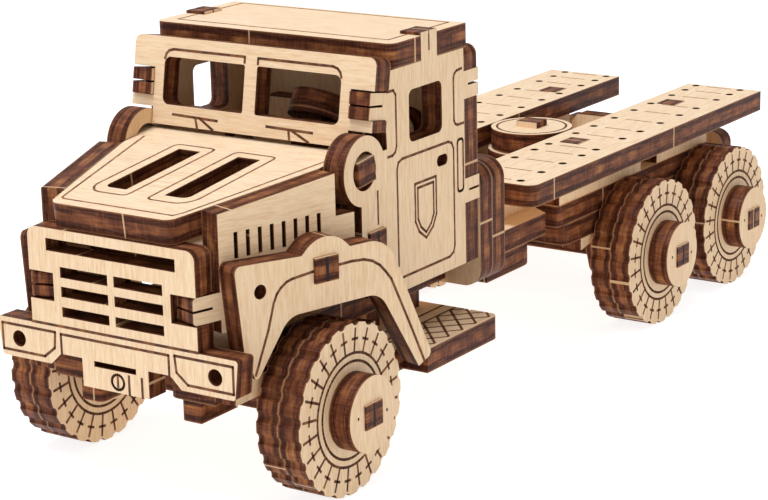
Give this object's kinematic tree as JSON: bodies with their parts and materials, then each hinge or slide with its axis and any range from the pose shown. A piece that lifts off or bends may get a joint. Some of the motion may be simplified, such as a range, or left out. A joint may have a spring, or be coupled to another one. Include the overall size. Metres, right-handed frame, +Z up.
{
  "type": "wooden truck model puzzle",
  "caption": "Small three-axle truck model slotted together from laser-cut plywood sheets, with turning axles, a hinged bonnet lid and a turntable between two deck planks.",
  "frame": {"origin": "middle of the bounding box, on the ground", "axes": "+Z up, the truck faces -Y, +X is its own left side"},
  "size_m": [0.0496, 0.1321, 0.0505],
  "materials": {
    "plywood": "bare birch plywood with laser-burnt edges"
  },
  "bodies": {
    "frame": {"bogie_bearing_left": "plywood", "bogie_bearing_right": "plywood", "bogie_cross": "plywood", "bonnet_side_left": "plywood", "bonnet_side_right": "plywood", "cab_back": "plywood", "cab_floor": "plywood", "cab_side_left": "plywood", "cab_side_right": "plywood", "chassis_plate": "plywood", "deck_lower": "plywood", "deck_upper": "plywood", "fender_brace": "plywood", "fender_left": "plywood", "fender_right": "plywood", "front_axle_plates": "plywood", "front_carrier_left": "plywood", "front_carrier_right": "plywood", "front_plate": "plywood", "plank_left": "plywood", "plank_right": "plywood", "rail_left": "plywood", "rail_right": "plywood", "rail_spacers": "plywood", "rear_box_inner": "plywood", "rear_box_outer": "plywood", "rear_cross": "plywood", "roof": "plywood", "scuttle_brace": "plywood", "seat": "plywood", "seat_back": "plywood", "steering_wheel": "plywood", "step_hangers": "plywood", "step_plate": "plywood", "tail_board": "plywood", "tray_lower": "plywood", "tray_upper": "plywood", "turntable_base": "plywood", "windscreen": "plywood"},
    "hood": {"hood_lid": "plywood"},
    "turntable": {"turntable_disc": "plywood", "turntable_post": "plywood"},
    "front_wheels": {"front_axle": "plywood", "front_hubs": "plywood", "front_tyre_inner_left": "plywood", "front_tyre_inner_right": "plywood", "front_tyre_outer_left": "plywood", "front_tyre_outer_right": "plywood"},
    "middle_wheels": {"middle_axle": "plywood", "middle_hubs": "plywood", "middle_tyre_inner_left": "plywood", "middle_tyre_inner_right": "plywood", "middle_tyre_outer_left": "plywood", "middle_tyre_outer_right": "plywood"},
    "rear_wheels": {"rear_axle": "plywood", "rear_hubs": "plywood", "rear_tyre_inner_left": "plywood", "rear_tyre_inner_right": "plywood", "rear_tyre_outer_left": "plywood", "rear_tyre_outer_right": "plywood"}
  },
  "joints": [
    {"name": "hood_hinge", "type": "hinge", "parent": "frame", "child": "hood", "pos_m": [0, -0.04055, 0.03615], "axis": [-1, 0, 0], "range_deg": [0, 55]},
    {"name": "turntable_turn", "type": "hinge", "parent": "frame", "child": "turntable", "pos_m": [0, 0.0281, 0.0262], "axis": [0, 0, 1], "continuous": true},
    {"name": "front_axle_turn", "type": "hinge", "parent": "frame", "child": "front_wheels", "pos_m": [0, -0.04995, 0.01031], "axis": [1, 0, 0], "continuous": true},
    {"name": "middle_axle_turn", "type": "hinge", "parent": "frame", "child": "middle_wheels", "pos_m": [0, 0.02785, 0.01031], "axis": [1, 0, 0], "continuous": true},
    {"name": "rear_axle_turn", "type": "hinge", "parent": "frame", "child": "rear_wheels", "pos_m": [0, 0.05105, 0.01031], "axis": [1, 0, 0], "continuous": true}
  ]
}
